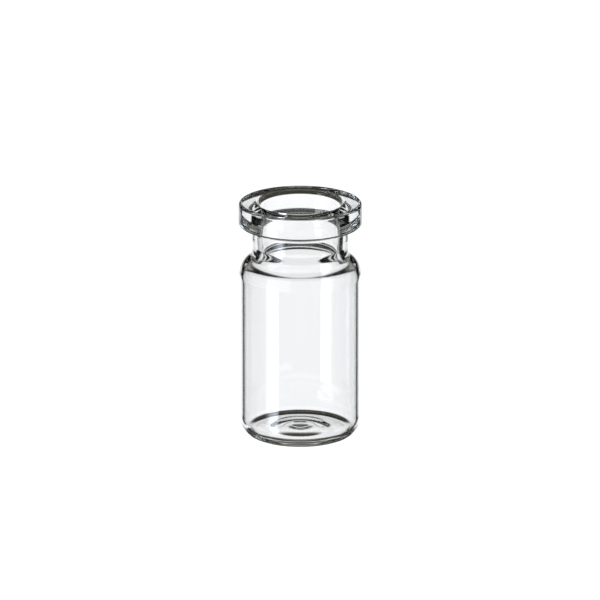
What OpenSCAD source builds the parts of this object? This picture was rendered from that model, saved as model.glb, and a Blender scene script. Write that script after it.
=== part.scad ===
// Clear tubular-glass vial with a flanged crimp finish, in one piece.
// Origin: centre of the base, on the plane the vial stands on. +Z runs up
// the axis to the mouth. All sizes in millimetres.
//
// The vial is one closed outline turned about Z. The outline starts in the
// middle of the base, runs up the outside to the sealing face, over the lip,
// and back down the inside to the middle of the floor.

/* [Overall] */
// Height from the standing plane to the sealing face
height = 39.2; // [38:0.1:60]
// Outer diameter of the straight body
body_d = 19.8; // [19.4:0.1:20.6]
// Wall thickness of the straight body
wall = 0.8; // [0.7:0.05:1]

/* [Crimp finish] */
// Outer diameter of the crown, the flange that a crimp cap grips
crown_d = 20; // [19.8:0.1:20.2]
// Height of the crown's rim, from the sealing face to its lower edge
crown_h = 3.8; // [3.2:0.1:4]
// Slope of the crown's underside, up and out from the neck, in degrees
under_slope = 7; // [1:1:15]
// Radius on the crown's upper outer edge
crown_edge_r = 0.55; // [0.1:0.05:0.6]
// Radius on the crown's lower outer edge
crown_low_r = 0.55; // [0.1:0.05:0.6]
// Radius between the crown's underside and the neck
under_fillet_r = 0.8; // [0.2:0.05:0.9]
// Bore of the mouth, which takes the stopper's plug
bore_d = 12.9; // [12.7:0.1:13]
// Depth of the straight bore, below the sealing face
bore_l = 5; // [4.5:0.1:5.5]
// Radius on the lip, between the sealing face and the bore
lip_r = 0.85; // [0.1:0.05:1]

/* [Neck and shoulder] */
// Outer diameter of the neck
neck_d = 15.5; // [15.3:0.1:15.8]
// Inner diameter of the neck where it opens into the body
neck_in_d = 12.6; // [12.5:0.1:12.7]
// Drop from the sealing face to the top of the straight body
shoulder_drop = 12.5; // [12:0.1:14]
// Outer radius of the shoulder
shoulder_r = 4; // [3:0.1:4.4]
// Outer fillet between the shoulder and the neck
neck_fillet_r = 1.2; // [1:0.1:2]
// Inner radius of the shoulder
shoulder_in_r = 2.2; // [2:0.1:2.8]
// Inner fillet between the shoulder and the bore
neck_fillet_in_r = 4.1; // [3:0.1:4.3]
// How far the inner shoulder starts below the outer one
shoulder_in_drop = 0.2; // [0:0.1:0.5]
// Outward bulge of the shoulder's outside, halfway along it
bulge = 0.2; // [0:0.05:0.35]
// Extra bulge of the outside, out near the body and in near the neck
bulge_low = 0.15; // [0:0.05:0.2]
// Outward bulge of the shoulder's inside, halfway along it
bulge_in = 0.25; // [0:0.05:0.25]
// Extra bulge of the inside, out near the body and in near the neck
bulge_in_low = 0.25; // [0:0.05:0.3]

/* [Base] */
// Width of the rounded heel, from the standing ring out to the body
heel_w = 2.5; // [1.8:0.1:2.6]
// Height of the rounded heel, from the standing plane up to the straight wall
heel_h = 3.6; // [2.4:0.1:3.8]
// Height of the pushed-up underside
push_up = 0.8; // [0.4:0.05:0.9]
// Radius of the pushed-up underside
push_r = 5.4; // [4.5:0.1:6]
// Depth of the pip in the middle of the underside
pip_h = 0.2; // [0.05:0.05:0.3]
// Radius of the pip
pip_r = 2.7; // [2:0.1:3.5]
// Thickness of the glass over the standing ring
floor_t = 1.35; // [1:0.05:1.6]
// Rise of the cavity's floor from its edge to its middle
floor_rise = 0.4; // [0.1:0.05:0.5]
// Radius of the raised middle of the floor
rise_r = 6.1; // [5:0.1:6.5]
// Radius of the closing mark in the middle of the floor
mark_r = 1.7; // [1:0.1:2.5]
// Height of the closing mark
mark_h = 0.15; // [0.05:0.05:0.3]
// Width of the cavity's corner, in from the wall
corner_in_w = 1; // [0.7:0.1:1.4]
// Height of the cavity's corner, above the floor
corner_in_h = 2; // [1:0.1:2]

/* [Hidden] */

body_r = body_d / 2;
cavity_r = body_r - wall;
crown_r = crown_d / 2;
neck_r = neck_d / 2;
bore_r = bore_d / 2;
neck_in_r = neck_in_d / 2;
shoulder_z = height - shoulder_drop;
shoulder_in_z = shoulder_z - shoulder_in_drop;
heel_in = body_r - heel_w;
corner_r = cavity_r - corner_in_w;

// Points along an arc of radius r about [cr, cz], from angle a0 to a1
function arc(cr, cz, r, a0, a1, n) = oval(cr, cz, r, r, a0, a1, n);

// The same along an oval, rr wide each way from its middle and rz high
function oval(cr, cz, rr, rz, a0, a1, n) =
    [for (i = [0:n]) let (a = a0 + (a1 - a0) * i / n)
        [cr + rr * cos(a), cz + rz * sin(a)]];

// How far a shoulder bulges at the fraction s of its length, from none at
// its ends to even halfway, with odd added on the body's side of that
function swell(s, even, odd) =
    pow(sin(180 * s), 2) * (even + odd * cos(180 * s));

// An S of two touching arcs that carries the outline from the upright line
// at radius ra, height z, in to the upright line at radius rb above it, with
// the swell added outward
function s_curve(ra, rb, z, r1, r2, even, odd, n) =
    let (t = acos((rb + r2 - ra + r1) / (r1 + r2)),
        rise = (r1 + r2) * sin(t),
        share = r1 / (r1 + r2))
    concat(
        [for (i = [0:n]) let (a = t * i / n,
            r = r1 + swell(share * i / n, even, odd))
            [ra - r1 + r * cos(a), z + r * sin(a)]],
        [for (i = [1:n]) let (a = 180 + t - t * i / n,
            r = r2 - swell(share + (1 - share) * i / n, even, odd))
            [rb + r2 + r * cos(a), z + rise + r * sin(a)]]);

function reversed(list) = [for (i = [len(list) - 1:-1:0]) list[i]];

// A low hill of height h, level at its middle and at its edge where x is 1;
// a higher power a gives it a broader flat top, b a softer foot
function hill(x, h, a, b) = x < 1 ? h * pow(1 - pow(x, a), b) : 0;

// Height of the crown's sloping underside at radius r
function under_z(r) = height - crown_h - (crown_r - r) * tan(under_slope);

base_steps = 40;

base_underside = [for (i = [0:base_steps])
    let (r = push_r * i / base_steps)
        [r, hill(r / push_r, push_up, 3.5, 2.5) - hill(r / pip_r, pip_h, 2, 2)]];

heel = oval(heel_in, heel_h, heel_w, heel_h, -90, 0, 16);

shoulder = s_curve(body_r, neck_r, shoulder_z, shoulder_r, neck_fillet_r,
    bulge, bulge_low, 12);

crown = concat(
    arc(neck_r + under_fillet_r,
        under_z(neck_r + under_fillet_r) - under_fillet_r / cos(under_slope),
        under_fillet_r, 180, 90 + under_slope, 6),
    arc(crown_r - crown_low_r,
        under_z(crown_r - crown_low_r) + crown_low_r / cos(under_slope),
        crown_low_r, under_slope - 90, 0, 8),
    arc(crown_r - crown_edge_r, height - crown_edge_r, crown_edge_r, 0, 90, 6));

lip = arc(bore_r + lip_r, height - lip_r, lip_r, 90, 180, 10);

bore = [[bore_r, height - bore_l]];

shoulder_inside = reversed(s_curve(cavity_r, neck_in_r, shoulder_in_z,
    shoulder_in_r, neck_fillet_in_r, bulge_in, bulge_in_low, 12));

corner_inside = oval(corner_r, floor_t + corner_in_h, corner_in_w, corner_in_h,
    0, -90, 14);

floor_inside = [for (i = [base_steps - 1:-1:0])
    let (r = corner_r * i / base_steps)
        [r, floor_t + hill(r / rise_r, floor_rise, 3, 2.5) + hill(r / mark_r, mark_h, 2, 2)]];

outline = concat(base_underside, heel, shoulder, crown, lip, bore,
    shoulder_inside, corner_inside, floor_inside);

module vial() {
    color([0.86, 0.93, 0.91, 0.45])
        rotate_extrude($fn = 192) polygon(outline);
}

vial();
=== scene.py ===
import math

import bpy
from mathutils import Matrix, Vector

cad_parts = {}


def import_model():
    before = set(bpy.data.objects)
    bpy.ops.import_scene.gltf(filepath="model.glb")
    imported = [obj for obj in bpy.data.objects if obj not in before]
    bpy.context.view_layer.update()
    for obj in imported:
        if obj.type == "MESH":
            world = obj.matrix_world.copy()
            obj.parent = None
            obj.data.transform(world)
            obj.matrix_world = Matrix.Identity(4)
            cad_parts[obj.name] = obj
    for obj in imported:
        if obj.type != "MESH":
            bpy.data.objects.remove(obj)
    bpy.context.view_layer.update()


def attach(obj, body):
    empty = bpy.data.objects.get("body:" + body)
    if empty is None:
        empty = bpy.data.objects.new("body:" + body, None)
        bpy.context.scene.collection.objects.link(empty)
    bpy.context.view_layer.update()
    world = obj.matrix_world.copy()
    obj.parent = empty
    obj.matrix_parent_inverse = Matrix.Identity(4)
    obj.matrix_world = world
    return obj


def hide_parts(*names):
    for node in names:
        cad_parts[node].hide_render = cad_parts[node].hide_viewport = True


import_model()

MM = 0.001

# ---------------------------------------------------------------- the vial's section
# The same construction as the CAD part, in millimetres, drawn much finer.
HEIGHT = 39.2
BODY_R = 9.9
WALL = 0.8
CROWN_R = 10.0
CROWN_H = 3.8
UNDER_SLOPE = 7.0
CROWN_EDGE_R = 0.55
CROWN_LOW_R = 0.55
UNDER_FILLET_R = 0.8
BORE_R = 6.45
BORE_L = 5.0
LIP_R = 0.85
NECK_R = 7.77
NECK_IN_R = 6.32
SHOULDER_DROP = 12.54
SHOULDER_R = 4.0
NECK_FILLET_R = 1.2
SHOULDER_IN_R = 2.2
NECK_FILLET_IN_R = 4.07
SHOULDER_IN_DROP = 0.18
# uneven swelling of the shoulder, outside and inside: a level part and three waves
SWELL_OUT = (0.187, 0.137, 0.062, 0.055)
SWELL_IN = (0.232, 0.283, 0.087, -0.071, 0.066)
HEEL_W = 2.5
HEEL_H = 3.6
PUSH_UP = 0.8
PUSH_R = 5.4
PIP_H = 0.2
PIP_R = 2.7
FLOOR_T = 1.35
FLOOR_RISE = 0.4
RISE_R = 6.15
MARK_R = 1.65
MARK_H = 0.15
CORNER_IN_W = 1.05
CORNER_IN_H = 2.0


def oval(cr, cz, rr, rz, a0, a1, n):
    out = []
    for i in range(n + 1):
        a = math.radians(a0 + (a1 - a0) * i / n)
        out.append((cr + rr * math.cos(a), cz + rz * math.sin(a)))
    return out


def arc(cr, cz, r, a0, a1, n):
    return oval(cr, cz, r, r, a0, a1, n)


def swell(s, waves):
    return math.sin(math.pi * s) ** 2 * sum(h * math.cos(k * math.pi * s) for k, h in enumerate(waves))


def s_curve(ra, rb, z, r1, r2, waves, n):
    t = math.acos((rb + r2 - ra + r1) / (r1 + r2))
    rise = (r1 + r2) * math.sin(t)
    share = r1 / (r1 + r2)
    out = []
    for i in range(n + 1):
        a = t * i / n
        r = r1 + swell(share * i / n, waves)
        out.append((ra - r1 + r * math.cos(a), z + r * math.sin(a)))
    for i in range(1, n + 1):
        a = math.pi + t - t * i / n
        r = r2 - swell(share + (1 - share) * i / n, waves)
        out.append((rb + r2 + r * math.cos(a), z + rise + r * math.sin(a)))
    return out


def hill(x, h, a, b):
    return h * (1 - x ** a) ** b if x < 1 else 0.0


def outline():
    heel_in = BODY_R - HEEL_W
    cavity_r = BODY_R - WALL
    corner_r = cavity_r - CORNER_IN_W
    shoulder_z = HEIGHT - SHOULDER_DROP
    tan = math.tan(math.radians(UNDER_SLOPE))
    cos = math.cos(math.radians(UNDER_SLOPE))

    def under_z(r):
        return HEIGHT - CROWN_H - (CROWN_R - r) * tan

    def underside(r):
        return hill(r / PUSH_R, PUSH_UP, 3.6, 2.6) - hill(r / PIP_R, PIP_H, 2, 2)

    def floor_z(r):
        return FLOOR_T + hill(r / RISE_R, FLOOR_RISE, 3, 2.4) + hill(r / MARK_R, MARK_H, 2, 2)

    parts = [
        [(PUSH_R * i / 44, underside(PUSH_R * i / 44)) for i in range(45)],
        oval(heel_in, HEEL_H, HEEL_W, HEEL_H, -90, 0, 24),
        s_curve(BODY_R, NECK_R, shoulder_z, SHOULDER_R, NECK_FILLET_R, SWELL_OUT, 26),
        arc(NECK_R + UNDER_FILLET_R,
            under_z(NECK_R + UNDER_FILLET_R) - UNDER_FILLET_R / cos,
            UNDER_FILLET_R, 180, 90 + UNDER_SLOPE, 9),
        arc(CROWN_R - CROWN_LOW_R,
            under_z(CROWN_R - CROWN_LOW_R) + CROWN_LOW_R / cos,
            CROWN_LOW_R, UNDER_SLOPE - 90, 0, 12),
        arc(CROWN_R - CROWN_EDGE_R, HEIGHT - CROWN_EDGE_R, CROWN_EDGE_R, 0, 90, 12),
        arc(BORE_R + LIP_R, HEIGHT - LIP_R, LIP_R, 90, 180, 14),
        [(BORE_R, HEIGHT - BORE_L)],
        list(reversed(s_curve(cavity_r, NECK_IN_R, shoulder_z - SHOULDER_IN_DROP,
                              SHOULDER_IN_R, NECK_FILLET_IN_R, SWELL_IN, 26))),
        oval(corner_r, FLOOR_T + CORNER_IN_H, CORNER_IN_W, CORNER_IN_H, 0, -90, 20),
        [(corner_r * i / 56, floor_z(corner_r * i / 56)) for i in range(55, -1, -1)],
    ]
    # long straight runs get a few rings more, so that their normals stay straight
    pts = []
    for part in parts:
        if pts:
            (r0, z0), (r1, z1) = pts[-1], part[0]
            gap = math.hypot(r1 - r0, z1 - z0)
            if gap < 1e-6:
                part = part[1:]
            elif gap > 0.5:
                ends = [0.1 / gap, 1 - 0.1 / gap]
                steps = max(1, min(8, round(gap / 1.5)))
                fs = [ends[0] + (ends[1] - ends[0]) * k / steps for k in range(steps + 1)]
                pts += [(r0 + (r1 - r0) * f, z0 + (z1 - z0) * f) for f in fs]
        pts += part
    return pts


def turned(name, pts, segments):
    """A closed outline from axis to axis, turned about Z."""
    verts, faces, rings = [], [], []
    for r, z in pts:
        if r < 1e-9:
            rings.append([len(verts)])
            verts.append((0.0, 0.0, z * MM))
        else:
            rings.append(list(range(len(verts), len(verts) + segments)))
            for k in range(segments):
                a = 2 * math.pi * k / segments
                verts.append((r * MM * math.cos(a), r * MM * math.sin(a), z * MM))
    for lo, hi in zip(rings, rings[1:]):
        for k in range(segments):
            j = (k + 1) % segments
            if len(lo) == 1:
                faces.append((lo[0], hi[j], hi[k]))
            elif len(hi) == 1:
                faces.append((lo[k], lo[j], hi[0]))
            else:
                faces.append((lo[k], lo[j], hi[j], hi[k]))
    mesh = bpy.data.meshes.new(name)
    mesh.from_pydata(verts, [], faces)
    mesh.validate()
    mesh.shade_smooth()
    mesh.update()
    obj = bpy.data.objects.new(name, mesh)
    bpy.context.scene.collection.objects.link(obj)
    return obj


OUTLINE = outline()
vial = turned("vial_glass", OUTLINE, 256)
print("rings", len(OUTLINE), "faces", len(vial.data.polygons))

# ---------------------------------------------------------------- glass
# heights of the surface's unevenness, in micrometres
WAVES_WORKED = 1.6
WAVES_THROAT = 9.0
WAVES_BODY = 0.4
RIPPLES = 0.35
TURNING = 0.6
DRAW = 0.3

def glass_material():
    """Clear borosilicate tube: even glass in the drawn body, more waviness,
    turning marks and faint ripples where the flame and the tools worked it."""
    m = bpy.data.materials.new("clear_glass")
    m.use_nodes = True
    nt = m.node_tree
    nt.nodes.clear()
    N, L = nt.nodes.new, nt.links.new

    def calc(op, a, b=None):
        n = N("ShaderNodeMath")
        n.operation = op
        for i, v in enumerate((a, b)):
            if v is None:
                continue
            if isinstance(v, (int, float)):
                n.inputs[i].default_value = v
            else:
                L(v, n.inputs[i])
        return n.outputs[0]

    def fade(value, v0, v1, t0=0.0, t1=1.0):
        mr = N("ShaderNodeMapRange")
        mr.interpolation_type = "SMOOTHSTEP"
        L(value, mr.inputs["Value"])
        for k, v in (("From Min", v0), ("From Max", v1), ("To Min", t0), ("To Max", t1)):
            mr.inputs[k].default_value = v
        return mr.outputs["Result"]

    def noise(vector, scale, detail, rough=0.5):
        n = N("ShaderNodeTexNoise")
        n.inputs["Scale"].default_value = scale
        n.inputs["Detail"].default_value = detail
        n.inputs["Roughness"].default_value = rough
        L(vector, n.inputs["Vector"])
        return calc("SUBTRACT", n.outputs["Fac"], 0.5)

    def point(x, y, z):
        c = N("ShaderNodeCombineXYZ")
        for i, v in enumerate((x, y, z)):
            if isinstance(v, (int, float)):
                c.inputs[i].default_value = v
            else:
                L(v, c.inputs[i])
        return c.outputs[0]

    tc = N("ShaderNodeTexCoord")
    sep = N("ShaderNodeSeparateXYZ")
    L(tc.outputs["Object"], sep.inputs[0])
    x, y, z = sep.outputs
    r = calc("SQRT", calc("ADD", calc("MULTIPLY", x, x), calc("MULTIPLY", y, y)))

    # how strongly the glass was worked: crown, neck and shoulder, and heel and floor
    worked = calc("MAXIMUM", fade(z, 0.0255, 0.0285), fade(z, 0.0050, 0.0022))
    crown = fade(z, 0.0335, 0.0350)
    # the inside of the neck and shoulder, which no tool touches
    throat = calc("MULTIPLY", fade(r, 0.0074, 0.0070), calc("MULTIPLY", fade(z, 0.0262, 0.0275), fade(z, 0.0335, 0.0300)))

    waves = noise(tc.outputs["Object"], 300, 2, 0.45)                      # over 3 mm
    ripples = noise(tc.outputs["Object"], 900, 2, 0.5)                     # over 1 mm
    turning = noise(point(r, calc("MULTIPLY", x, 0.02), z), 1500, 3, 0.5)  # rings left by turning
    draw = noise(point(x, y, calc("MULTIPLY", z, 0.02)), 700, 2, 0.5)      # lines along the tube

    # heights in micrometres
    height = calc("MULTIPLY", waves, calc("ADD", calc("MULTIPLY", worked, WAVES_WORKED), WAVES_BODY))
    height = calc("ADD", height, calc("MULTIPLY", waves, calc("MULTIPLY", throat, WAVES_THROAT)))
    height = calc("ADD", height, calc("MULTIPLY", ripples, calc("MULTIPLY", worked, RIPPLES)))
    height = calc("ADD", height, calc("MULTIPLY", turning, calc("MULTIPLY", crown, TURNING)))
    height = calc("ADD", height, calc("MULTIPLY", draw, DRAW))
    bump = N("ShaderNodeBump")
    bump.inputs["Strength"].default_value = 1.0
    bump.inputs["Distance"].default_value = 1e-6
    L(height, bump.inputs["Height"])

    # fire-polished and bright, with a trace of handling haze that comes and goes
    haze = fade(noise(tc.outputs["Object"], 420, 4, 0.6), -0.05, 0.22, 0.012, 0.05)

    out = N("ShaderNodeOutputMaterial")
    bsdf = N("ShaderNodeBsdfPrincipled")
    bsdf.inputs["Base Color"].default_value = (1, 1, 1, 1)
    bsdf.inputs["IOR"].default_value = 1.49
    bsdf.inputs["Transmission Weight"].default_value = 1.0
    L(haze, bsdf.inputs["Roughness"])
    L(bump.outputs["Normal"], bsdf.inputs["Normal"])
    tint = N("ShaderNodeVolumeAbsorption")
    tint.inputs["Color"].default_value = (0.70, 0.90, 0.80, 1)
    tint.inputs["Density"].default_value = 6.0
    L(bsdf.outputs["BSDF"], out.inputs["Surface"])
    L(tint.outputs["Volume"], out.inputs["Volume"])
    return m


vial.data.materials.append(glass_material())
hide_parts("vial")
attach(vial, "root")

# ---------------------------------------------------------------- floor
def disc(name, radius, z, n=96):
    verts = [(0, 0, z)] + [(radius * math.cos(2 * math.pi * k / n), radius * math.sin(2 * math.pi * k / n), z) for k in range(n)]
    faces = [(0, 1 + k, 1 + (k + 1) % n) for k in range(n)]
    mesh = bpy.data.meshes.new(name)
    mesh.from_pydata(verts, [], faces)
    mesh.update()
    obj = bpy.data.objects.new(name, mesh)
    bpy.context.scene.collection.objects.link(obj)
    return obj


floor = disc("floor", 12.0, -0.00002)
fm = bpy.data.materials.new("pale_floor")
fm.use_nodes = True
fm.node_tree.nodes.clear()
fo = fm.node_tree.nodes.new("ShaderNodeOutputMaterial")
fe = fm.node_tree.nodes.new("ShaderNodeEmission")
fe.inputs["Color"].default_value = (1, 1, 1, 1)
fe.inputs["Strength"].default_value = 1.08
fm.node_tree.links.new(fe.outputs[0], fo.inputs["Surface"])
floor.data.materials.append(fm)
floor.visible_transmission = False
floor.visible_glossy = False
floor.visible_diffuse = False
floor.visible_shadow = False

# ---------------------------------------------------------------- light
# azimuth 0 is +Y (behind the vial), 90 is -X; elevation above the horizon.
# A panel is dark, rises, stays level, falls: four azimuths and four elevations.
PANELS = [
    # backlight sheet: brightest low down, dimmer towards its top
    ((-34, -26, 26, 34), (-31, -24, -18.5, -17), (1.11, 1.12, 1.14)),
    ((-34, -26, 26, 34), (-31, -24, -11.5, -7), (1.05, 1.06, 1.08)),
    ((-34, -26, 26, 34), (-31, -24, -2.5, 2.0), (0.93, 0.94, 0.95)),
    # softbox low on the left, by far the brightest, and its sheen above and below
    ((106, 127, 134.5, 137.5), (-32, -28, -11, -8), (5.0, 5.5, 6.3)),
    ((104, 112, 134.5, 137.5), (-48, -44, -30, -26), (1.45, 1.50, 1.60)),
    ((106, 127, 134.5, 137.5), (-12, -8, 32, 38), (0.24, 0.24, 0.24)),
    # low white cards either side
    ((48, 53, 64, 84), (-27, -23, -16.46, -16.30), (0.40, 0.41, 0.42)),
    ((-84, -64, -53, -48), (-27, -23, -16.46, -16.30), (0.40, 0.41, 0.42)),
    # white cards that light the other sides
    ((19, 28, 61, 69), (-29.5, -27.5, -23.5, -22), (1.00, 1.01, 1.03)),
    ((58, 66, 114, 122), (-8.5, -6.5, -0.5, 1.5), (1.00, 1.01, 1.03)),
    ((-164, -156, -112, -104), (-15.98, -15.8, -10, -7.5), (1.00, 1.01, 1.03)),
    # a dimmer sheet all round the back, and the table below
    ((78, 88, 181, 182), (-34, -30, -19.5, -18.3), (0.62, 0.63, 0.64)),
    ((-182, -181, -88, -78), (-34, -30, -19.5, -18.3), (0.62, 0.63, 0.64)),
    ((-200, -190, 190, 200), (-100, -95, -72, -66), (0.35, 0.35, 0.34)),
    # dim ceiling over the backlight
    ((-40, -25, 25, 40), (16.6, 20, 30, 36), (0.25, 0.245, 0.22)),
    ((-20, -10, 10, 20), (16.5, 16.9, 18.5, 21), (0.62, 0.615, 0.60)),
    ((-40, -25, 25, 40), (16, 22, 55, 65), (0.11, 0.105, 0.09)),
]
AMBIENT = (0.003, 0.003, 0.002)
AMBIENT_FAR = (0.045, 0.043, 0.033)   # towards the ceiling and the table


def world():
    w = bpy.data.worlds.new("studio")
    bpy.context.scene.world = w
    w.use_nodes = True
    nt = w.node_tree
    nt.nodes.clear()
    N, L = nt.nodes.new, nt.links.new
    out = N("ShaderNodeOutputWorld")
    bg = N("ShaderNodeBackground")
    tc = N("ShaderNodeTexCoord")
    sep = N("ShaderNodeSeparateXYZ")
    L(tc.outputs["Generated"], sep.inputs[0])

    def math_node(op, a, b=None, c=None):
        n = N("ShaderNodeMath")
        n.operation = op
        for i, v in enumerate((a, b, c)):
            if v is None:
                continue
            if isinstance(v, (int, float)):
                n.inputs[i].default_value = v
            else:
                L(v, n.inputs[i])
        return n.outputs[0]

    nx = math_node("MULTIPLY", sep.outputs[0], -1.0)
    az = math_node("DEGREES", math_node("ARCTAN2", nx, sep.outputs[1]))
    el = math_node("DEGREES", math_node("ARCSINE", sep.outputs[2]))

    def ramp(value, v0, v1):
        mr = N("ShaderNodeMapRange")
        mr.interpolation_type = "SMOOTHSTEP"
        L(value, mr.inputs["Value"])
        mr.inputs["From Min"].default_value = v0
        mr.inputs["From Max"].default_value = v1
        mr.inputs["To Min"].default_value = 0.0
        mr.inputs["To Max"].default_value = 1.0
        return mr.outputs["Result"]

    def plateau(value, a, b, c, d):
        return math_node("MULTIPLY", ramp(value, a, b), ramp(value, d, c))

    def vec(op, a, b):
        n = N("ShaderNodeVectorMath")
        n.operation = op
        for i, v in enumerate((a, b)):
            if isinstance(v, tuple):
                n.inputs[i].default_value = v
            else:
                L(v, n.inputs[i])
        return n.outputs[0]

    def tinted(mask, colour):
        c = N("ShaderNodeCombineXYZ")
        for i in range(3):
            L(mask, c.inputs[i])
        return vec("MULTIPLY", c.outputs[0], colour)

    total = vec("MAXIMUM", tinted(ramp(math_node("ABSOLUTE", el), 18, 40), AMBIENT_FAR), AMBIENT)
    for az4, el4, colour in PANELS:
        total = vec("MAXIMUM", total, tinted(math_node("MULTIPLY", plateau(az, *az4), plateau(el, *el4)), colour))
    L(total, bg.inputs["Color"])
    bg.inputs["Strength"].default_value = 1.0
    # beyond the floor the camera sees the same pale backdrop
    pale = N("ShaderNodeBackground")
    pale.inputs["Color"].default_value = (1, 1, 1, 1)
    pale.inputs["Strength"].default_value = 1.08
    mix = N("ShaderNodeMixShader")
    L(N("ShaderNodeLightPath").outputs["Is Camera Ray"], mix.inputs[0])
    L(bg.outputs[0], mix.inputs[1])
    L(pale.outputs[0], mix.inputs[2])
    L(mix.outputs[0], out.inputs["Surface"])


world()

# ---------------------------------------------------------------- camera
EL = math.radians(16.6)
DIST = 2.0
TARGET = Vector((0, 0, 0.020))
cam_data = bpy.data.cameras.new("camera")
cam = bpy.data.objects.new("camera", cam_data)
bpy.context.scene.collection.objects.link(cam)
bpy.context.scene.camera = cam
cam_data.sensor_width = 36.0
cam_data.lens = 36.0 * DIST / (600 / 6.157 * MM)
cam_data.clip_start = 0.01
cam_data.clip_end = 100.0
back = Vector((0, -math.cos(EL), math.sin(EL)))
cam.location = TARGET + back * DIST
rot = (-back).to_track_quat("-Z", "Y").to_matrix().to_4x4()
cam.matrix_world = Matrix.Translation(cam.location) @ rot
# the vial's middle sits a little off the frame's middle
cam_data.shift_x = (300.0 - 300.25) / 600
cam_data.shift_y = (315.4 - 300.0) / 600

sc = bpy.context.scene
sc.view_settings.view_transform = "Standard"
sc.view_settings.look = "None"
sc.cycles.max_bounces = 48
sc.cycles.transmission_bounces = 48
sc.cycles.glossy_bounces = 24
sc.cycles.use_denoising = True
